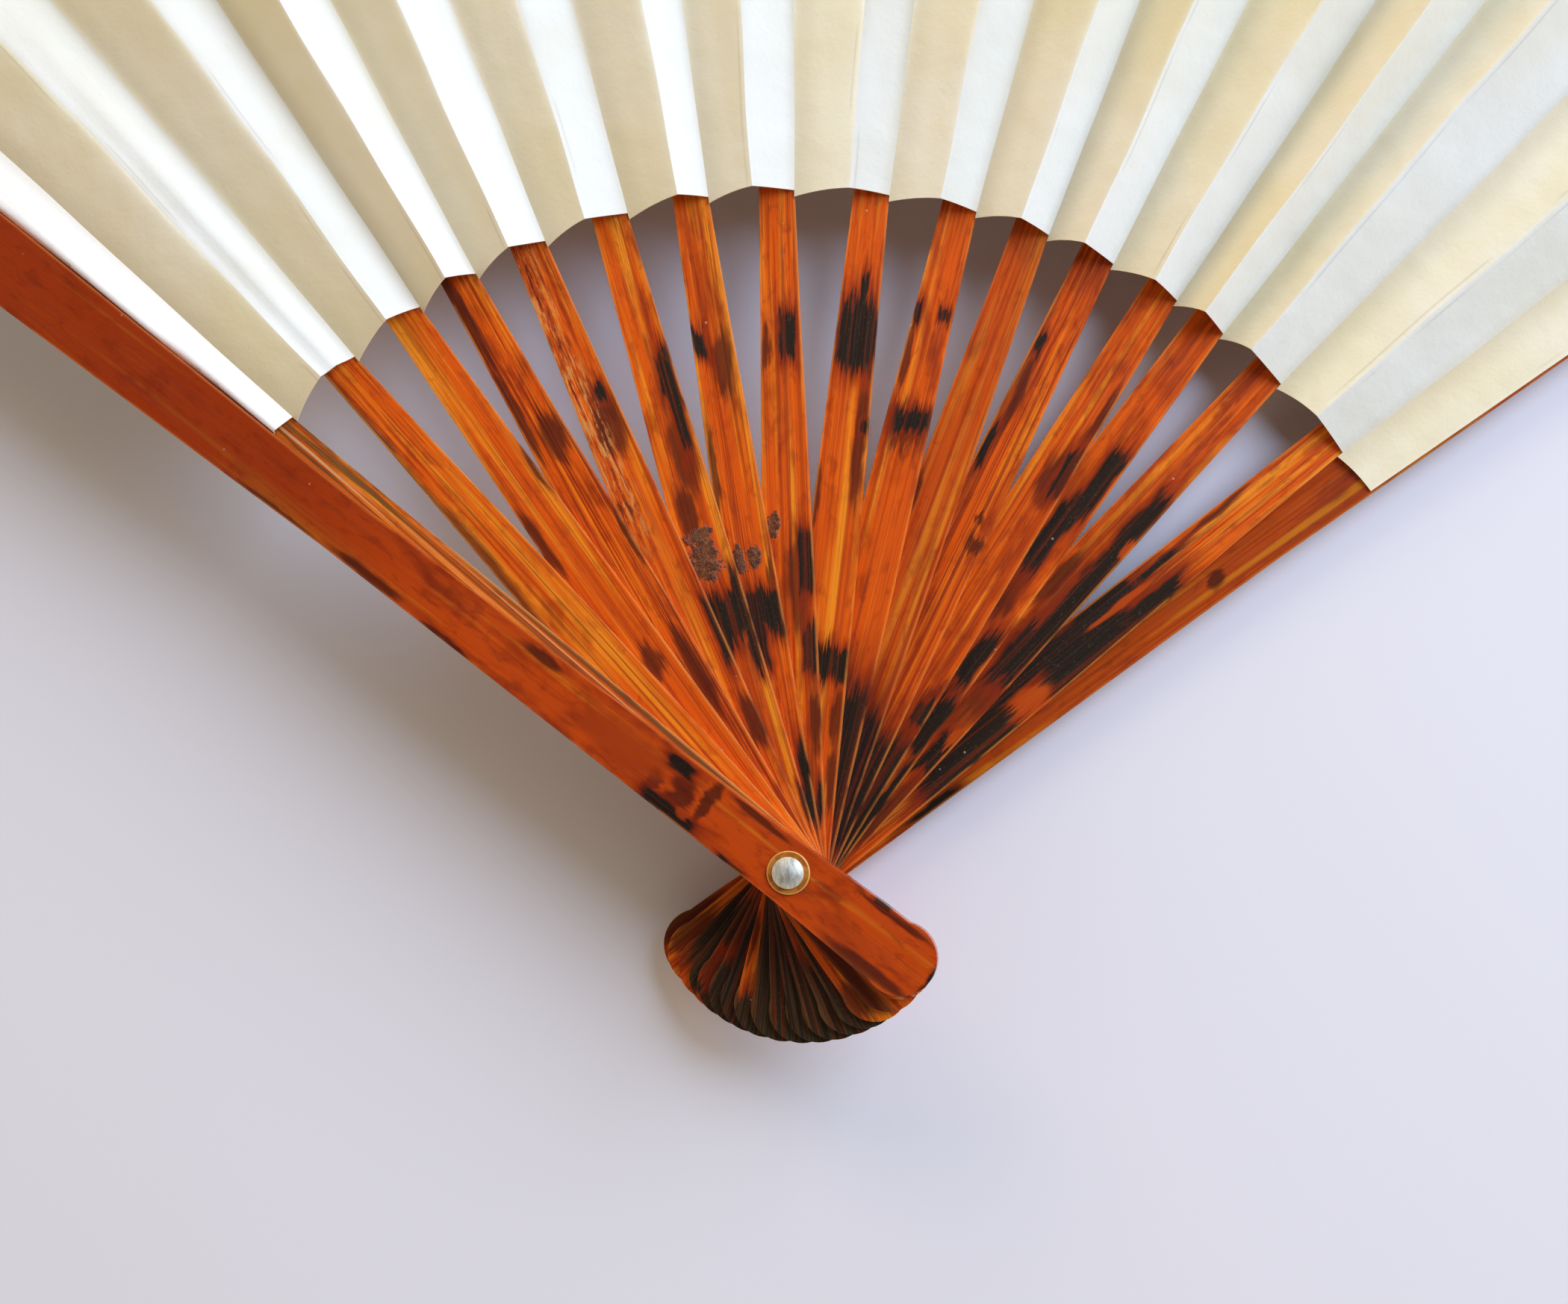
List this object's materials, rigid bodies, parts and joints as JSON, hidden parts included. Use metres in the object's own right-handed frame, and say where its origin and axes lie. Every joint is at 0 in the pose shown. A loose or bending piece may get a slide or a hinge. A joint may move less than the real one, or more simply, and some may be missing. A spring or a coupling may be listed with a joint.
{
  "type": "folding hand fan",
  "caption": "Open folding hand fan: flat lacquered sticks and two guards turning on one rivet, carrying a pleated paper leaf.",
  "frame": {"origin": "on the rivet's axis, at the flat underside of its rear head", "axes": "+Z along the rivet, from the rear guard up to the front guard; +Y along the middle of the open fan, from the rivet to the leaf; +X to the right seen from the front, so the front guard is on the -X side"},
  "size_m": [0.4542, 0.3016, 0.0335],
  "materials": {
    "guard_bamboo": "lacquered, tortoiseshell-mottled",
    "stick_bamboo": "lacquered, streaked",
    "leaf_paper": "matte, aged",
    "rivet_metal": "worn",
    "washer_amber": "clear amber"
  },
  "bodies": {
    "rear_guard": {"rear_guard": "guard_bamboo", "leaf_end_rear": "leaf_paper", "rivet": "rivet_metal", "front_washer": "washer_amber", "rear_washer": "washer_amber"},
    "stick_01": {"stick_01": "stick_bamboo", "leaf_pleat_01": "leaf_paper"},
    "stick_02": {"stick_02": "stick_bamboo", "leaf_pleat_02": "leaf_paper"},
    "stick_03": {"stick_03": "stick_bamboo", "leaf_pleat_03": "leaf_paper"},
    "stick_04": {"stick_04": "stick_bamboo", "leaf_pleat_04": "leaf_paper"},
    "stick_05": {"stick_05": "stick_bamboo", "leaf_pleat_05": "leaf_paper"},
    "stick_06": {"stick_06": "stick_bamboo", "leaf_pleat_06": "leaf_paper"},
    "stick_07": {"stick_07": "stick_bamboo", "leaf_pleat_07": "leaf_paper"},
    "stick_08": {"stick_08": "stick_bamboo", "leaf_pleat_08": "leaf_paper"},
    "stick_09": {"stick_09": "stick_bamboo", "leaf_pleat_09": "leaf_paper"},
    "stick_10": {"stick_10": "stick_bamboo", "leaf_pleat_10": "leaf_paper"},
    "stick_11": {"stick_11": "stick_bamboo", "leaf_pleat_11": "leaf_paper"},
    "stick_12": {"stick_12": "stick_bamboo", "leaf_pleat_12": "leaf_paper"},
    "stick_13": {"stick_13": "stick_bamboo", "leaf_pleat_13": "leaf_paper"},
    "stick_14": {"stick_14": "stick_bamboo", "leaf_pleat_14": "leaf_paper"},
    "stick_15": {"stick_15": "stick_bamboo", "leaf_pleat_15": "leaf_paper"},
    "stick_16": {"stick_16": "stick_bamboo", "leaf_pleat_16": "leaf_paper"},
    "front_guard": {"front_guard": "guard_bamboo", "leaf_end_front": "leaf_paper"}
  },
  "joints": [
    {"name": "front_guard_swing", "type": "hinge", "parent": "rear_guard", "child": "front_guard", "pos_m": [0, 0, 0], "axis": [0, 0, 1], "range_deg": [-106.8, 0], "deforming": ["leaf_end_front", "leaf_end_rear"]},
    {"name": "stick_01_swing", "type": "hinge", "parent": "rear_guard", "child": "stick_01", "pos_m": [0, 0, 0], "axis": [0, 0, 1], "range_deg": [-103.8, 0], "deforming": ["leaf_pleat_01"]},
    {"name": "stick_02_swing", "type": "hinge", "parent": "rear_guard", "child": "stick_02", "pos_m": [0, 0, 0], "axis": [0, 0, 1], "range_deg": [-96.4, 0], "deforming": ["leaf_pleat_02"]},
    {"name": "stick_03_swing", "type": "hinge", "parent": "rear_guard", "child": "stick_03", "pos_m": [0, 0, 0], "axis": [0, 0, 1], "range_deg": [-89.5, 0], "deforming": ["leaf_pleat_03"]},
    {"name": "stick_04_swing", "type": "hinge", "parent": "rear_guard", "child": "stick_04", "pos_m": [0, 0, 0], "axis": [0, 0, 1], "range_deg": [-84, 0], "deforming": ["leaf_pleat_04"]},
    {"name": "stick_05_swing", "type": "hinge", "parent": "rear_guard", "child": "stick_05", "pos_m": [0, 0, 0], "axis": [0, 0, 1], "range_deg": [-77.5, 0], "deforming": ["leaf_pleat_05"]},
    {"name": "stick_06_swing", "type": "hinge", "parent": "rear_guard", "child": "stick_06", "pos_m": [0, 0, 0], "axis": [0, 0, 1], "range_deg": [-70.2, 0], "deforming": ["leaf_pleat_06"]},
    {"name": "stick_07_swing", "type": "hinge", "parent": "rear_guard", "child": "stick_07", "pos_m": [0, 0, 0], "axis": [0, 0, 1], "range_deg": [-63.2, 0], "deforming": ["leaf_pleat_07"]},
    {"name": "stick_08_swing", "type": "hinge", "parent": "rear_guard", "child": "stick_08", "pos_m": [0, 0, 0], "axis": [0, 0, 1], "range_deg": [-55.9, 0], "deforming": ["leaf_pleat_08"]},
    {"name": "stick_09_swing", "type": "hinge", "parent": "rear_guard", "child": "stick_09", "pos_m": [0, 0, 0], "axis": [0, 0, 1], "range_deg": [-47.9, 0], "deforming": ["leaf_pleat_09"]},
    {"name": "stick_10_swing", "type": "hinge", "parent": "rear_guard", "child": "stick_10", "pos_m": [0, 0, 0], "axis": [0, 0, 1], "range_deg": [-40.4, 0], "deforming": ["leaf_pleat_10"]},
    {"name": "stick_11_swing", "type": "hinge", "parent": "rear_guard", "child": "stick_11", "pos_m": [0, 0, 0], "axis": [0, 0, 1], "range_deg": [-34.1, 0], "deforming": ["leaf_pleat_11"]},
    {"name": "stick_12_swing", "type": "hinge", "parent": "rear_guard", "child": "stick_12", "pos_m": [0, 0, 0], "axis": [0, 0, 1], "range_deg": [-28.2, 0], "deforming": ["leaf_pleat_12"]},
    {"name": "stick_13_swing", "type": "hinge", "parent": "rear_guard", "child": "stick_13", "pos_m": [0, 0, 0], "axis": [0, 0, 1], "range_deg": [-22, 0], "deforming": ["leaf_pleat_13"]},
    {"name": "stick_14_swing", "type": "hinge", "parent": "rear_guard", "child": "stick_14", "pos_m": [0, 0, 0], "axis": [0, 0, 1], "range_deg": [-17.3, 0], "deforming": ["leaf_pleat_14"]},
    {"name": "stick_15_swing", "type": "hinge", "parent": "rear_guard", "child": "stick_15", "pos_m": [0, 0, 0], "axis": [0, 0, 1], "range_deg": [-10.9, 0], "deforming": ["leaf_pleat_15"]},
    {"name": "stick_16_swing", "type": "hinge", "parent": "rear_guard", "child": "stick_16", "pos_m": [0, 0, 0], "axis": [0, 0, 1], "range_deg": [-3.2, 0], "deforming": ["leaf_pleat_16"]}
  ],
  "couplings": [
    {"joint": "stick_01_swing", "follows": "front_guard_swing", "ratio": 0.97191},
    {"joint": "stick_02_swing", "follows": "front_guard_swing", "ratio": 0.90262},
    {"joint": "stick_03_swing", "follows": "front_guard_swing", "ratio": 0.83801},
    {"joint": "stick_04_swing", "follows": "front_guard_swing", "ratio": 0.78652},
    {"joint": "stick_05_swing", "follows": "front_guard_swing", "ratio": 0.72566},
    {"joint": "stick_06_swing", "follows": "front_guard_swing", "ratio": 0.6573},
    {"joint": "stick_07_swing", "follows": "front_guard_swing", "ratio": 0.59176},
    {"joint": "stick_08_swing", "follows": "front_guard_swing", "ratio": 0.52341},
    {"joint": "stick_09_swing", "follows": "front_guard_swing", "ratio": 0.4485},
    {"joint": "stick_10_swing", "follows": "front_guard_swing", "ratio": 0.37828},
    {"joint": "stick_11_swing", "follows": "front_guard_swing", "ratio": 0.31929},
    {"joint": "stick_12_swing", "follows": "front_guard_swing", "ratio": 0.26404},
    {"joint": "stick_13_swing", "follows": "front_guard_swing", "ratio": 0.20599},
    {"joint": "stick_14_swing", "follows": "front_guard_swing", "ratio": 0.16198},
    {"joint": "stick_15_swing", "follows": "front_guard_swing", "ratio": 0.10206},
    {"joint": "stick_16_swing", "follows": "front_guard_swing", "ratio": 0.029962}
  ]
}
